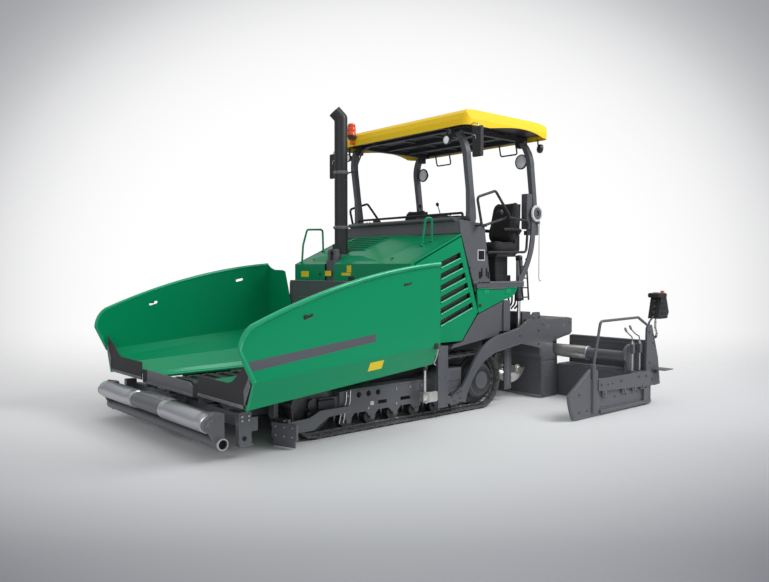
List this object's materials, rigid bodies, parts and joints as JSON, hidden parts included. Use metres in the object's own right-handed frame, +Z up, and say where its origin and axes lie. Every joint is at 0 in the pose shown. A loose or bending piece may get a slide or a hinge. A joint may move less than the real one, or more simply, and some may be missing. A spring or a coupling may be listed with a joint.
{
  "type": "crawler asphalt paver",
  "caption": "Crawler asphalt paver with folding hopper wings, push rollers, louvred hood, operator's deck under a folding roof, augers and an extending paving screed on tow arms.",
  "frame": {"origin": "middle of the bounding box's underside, on the ground", "axes": "+X forward to the hopper, +Y to the machine's left, +Z up"},
  "size_m": [6.3049, 5.32, 3.9545],
  "materials": {
    "body_green": "semi-gloss green paint",
    "anthracite_paint": "satin anthracite paint",
    "dark_apron": "matt dark rubber",
    "light_grey_paint": "satin grey paint",
    "track_black": "worn black steel and rubber",
    "black_tube": "satin black paint",
    "seat_vinyl": "matt black vinyl",
    "bright_steel": "ground bright steel",
    "roof_yellow": "gloss yellow",
    "beacon_red": "orange-red lens"
  },
  "bodies": {
    "tractor": {"main_frame": "anthracite_paint", "left_track": "track_black", "right_track": "track_black", "track_frames": "anthracite_paint", "track_wheels": "track_black", "track_deflectors": "anthracite_paint", "front_frame": "anthracite_paint", "conveyors": "anthracite_paint", "hopper_back_wall": "anthracite_paint", "centre_apron": "anthracite_paint", "engine_hood": "body_green", "engine_block": "anthracite_paint", "tank_panels": "anthracite_paint", "exhaust_bracket": "anthracite_paint", "platform": "anthracite_paint", "platform_rails": "black_tube", "seats": "seat_vinyl", "seat_bases": "black_tube", "console": "black_tube", "rear_columns": "anthracite_paint", "front_post_feet": "anthracite_paint", "tow_guides": "anthracite_paint", "lift_barrels": "anthracite_paint", "auger_frame": "anthracite_paint"},
    "left_wing": {"left_wing": "body_green", "left_wing_apron": "dark_apron"},
    "right_wing": {"right_wing": "body_green", "right_wing_apron": "dark_apron"},
    "push_beam": {"push_beam": "light_grey_paint"},
    "left_push_roller": {"left_push_roller": "light_grey_paint"},
    "right_push_roller": {"right_push_roller": "light_grey_paint"},
    "left_auger": {"left_auger": "bright_steel"},
    "right_auger": {"right_auger": "bright_steel"},
    "left_engine_door": {"left_engine_door": "body_green"},
    "right_engine_door": {"right_engine_door": "body_green"},
    "left_side_flap": {"left_side_flap": "body_green"},
    "right_side_flap": {"right_side_flap": "body_green"},
    "tow_sliders": {"tow_sliders": "bright_steel"},
    "screed": {"screed_body": "anthracite_paint", "side_arms": "anthracite_paint", "fixed_tubes": "bright_steel"},
    "lift_rods": {"lift_rods": "bright_steel"},
    "left_extension": {"left_extension": "anthracite_paint", "left_end_plate": "anthracite_paint", "left_control_box": "black_tube"},
    "right_extension": {"right_extension": "anthracite_paint", "right_end_plate": "anthracite_paint", "right_control_box": "black_tube"},
    "left_mid_tube": {"left_mid_tube": "bright_steel"},
    "right_mid_tube": {"right_mid_tube": "bright_steel"},
    "front_posts": {"front_posts": "anthracite_paint"},
    "roof": {"roof_shell": "roof_yellow", "roof_frame": "black_tube", "roof_mirrors": "black_tube", "roof_lamps": "black_tube", "roof_beacon": "beacon_red"},
    "rear_posts": {"rear_posts": "anthracite_paint"},
    "exhaust": {"exhaust_stack": "black_tube"}
  },
  "joints": [
    {"name": "left_wing_fold", "type": "hinge", "parent": "tractor", "child": "left_wing", "pos_m": [1.6175, 0.67, 0.55], "axis": [1, 0, 0], "range_deg": [0, 45]},
    {"name": "right_wing_fold", "type": "hinge", "parent": "tractor", "child": "right_wing", "pos_m": [1.6175, -0.67, 0.55], "axis": [-1, 0, 0], "range_deg": [0, 45]},
    {"name": "push_beam_pivot", "type": "hinge", "parent": "tractor", "child": "push_beam", "pos_m": [2.8575, 0, 0.34], "axis": [0, 0, 1], "range_deg": [-4, 4]},
    {"name": "left_push_roller_spin", "type": "hinge", "parent": "push_beam", "child": "left_push_roller", "pos_m": [3.0575, 0.825, 0.36], "axis": [0, 1, 0], "continuous": true},
    {"name": "right_push_roller_spin", "type": "hinge", "parent": "push_beam", "child": "right_push_roller", "pos_m": [3.0575, -0.825, 0.36], "axis": [0, 1, 0], "continuous": true},
    {"name": "left_auger_spin", "type": "hinge", "parent": "tractor", "child": "left_auger", "pos_m": [-1.6825, 0.56, 0.412], "axis": [0, 1, 0], "continuous": true},
    {"name": "right_auger_spin", "type": "hinge", "parent": "tractor", "child": "right_auger", "pos_m": [-1.6825, -0.56, 0.412], "axis": [0, 1, 0], "continuous": true},
    {"name": "left_engine_door_hinge", "type": "hinge", "parent": "tractor", "child": "left_engine_door", "pos_m": [0.3375, 1.185, 1.4], "axis": [0, 0, -1], "range_deg": [0, 85]},
    {"name": "right_engine_door_hinge", "type": "hinge", "parent": "tractor", "child": "right_engine_door", "pos_m": [0.3375, -1.185, 1.4], "axis": [0, 0, 1], "range_deg": [0, 85]},
    {"name": "left_side_flap_hinge", "type": "hinge", "parent": "tractor", "child": "left_side_flap", "pos_m": [-1.1325, 1.204, 1.53], "axis": [1, 0, 0], "range_deg": [0, 90]},
    {"name": "right_side_flap_hinge", "type": "hinge", "parent": "tractor", "child": "right_side_flap", "pos_m": [-1.1325, -1.204, 1.53], "axis": [-1, 0, 0], "range_deg": [0, 90]},
    {"name": "tow_point_lift", "type": "slide", "parent": "tractor", "child": "tow_sliders", "axis": [0, 0, 1], "range_m": [0, 0.2]},
    {"name": "screed_lift", "type": "hinge", "parent": "tow_sliders", "child": "screed", "pos_m": [0.2175, 0, 0.28], "axis": [0, 1, 0], "range_deg": [0, 5]},
    {"name": "lift_rod_slide", "type": "slide", "parent": "tow_sliders", "child": "lift_rods", "axis": [0, 0, 1], "range_m": [0, 0.2]},
    {"name": "left_extension_slide", "type": "slide", "parent": "screed", "child": "left_extension", "axis": [0, -1, 0], "range_m": [0, 1.1]},
    {"name": "right_extension_slide", "type": "slide", "parent": "screed", "child": "right_extension", "axis": [0, 1, 0], "range_m": [0, 1.1]},
    {"name": "left_mid_tube_slide", "type": "slide", "parent": "screed", "child": "left_mid_tube", "axis": [0, -1, 0], "range_m": [0, 0.55]},
    {"name": "right_mid_tube_slide", "type": "slide", "parent": "screed", "child": "right_mid_tube", "axis": [0, 1, 0], "range_m": [0, 0.55]},
    {"name": "roof_fold", "type": "hinge", "parent": "tractor", "child": "front_posts", "pos_m": [-0.6925, 0, 2.37], "axis": [0, -1, 0], "range_deg": [0, 50]},
    {"name": "roof_level", "type": "hinge", "parent": "front_posts", "child": "roof", "pos_m": [-0.5725, 0, 3.5], "axis": [0, 1, 0], "range_deg": [0, 50]},
    {"name": "rear_post_fold", "type": "hinge", "parent": "tractor", "child": "rear_posts", "pos_m": [-1.9725, 0, 2.37], "axis": [0, -1, 0], "range_deg": [0, 50]},
    {"name": "exhaust_fold", "type": "hinge", "parent": "tractor", "child": "exhaust", "pos_m": [0.3375, -0.39, 2.015], "axis": [0, 1, 0], "range_deg": [0, 80]}
  ],
  "couplings": [
    {"joint": "lift_rod_slide", "follows": "screed_lift", "m_per_rad": 1.94},
    {"joint": "left_mid_tube_slide", "follows": "left_extension_slide", "ratio": 0.5},
    {"joint": "right_mid_tube_slide", "follows": "right_extension_slide", "ratio": 0.5},
    {"joint": "roof_level", "follows": "roof_fold", "ratio": 1},
    {"joint": "rear_post_fold", "follows": "roof_fold", "ratio": 1}
  ]
}
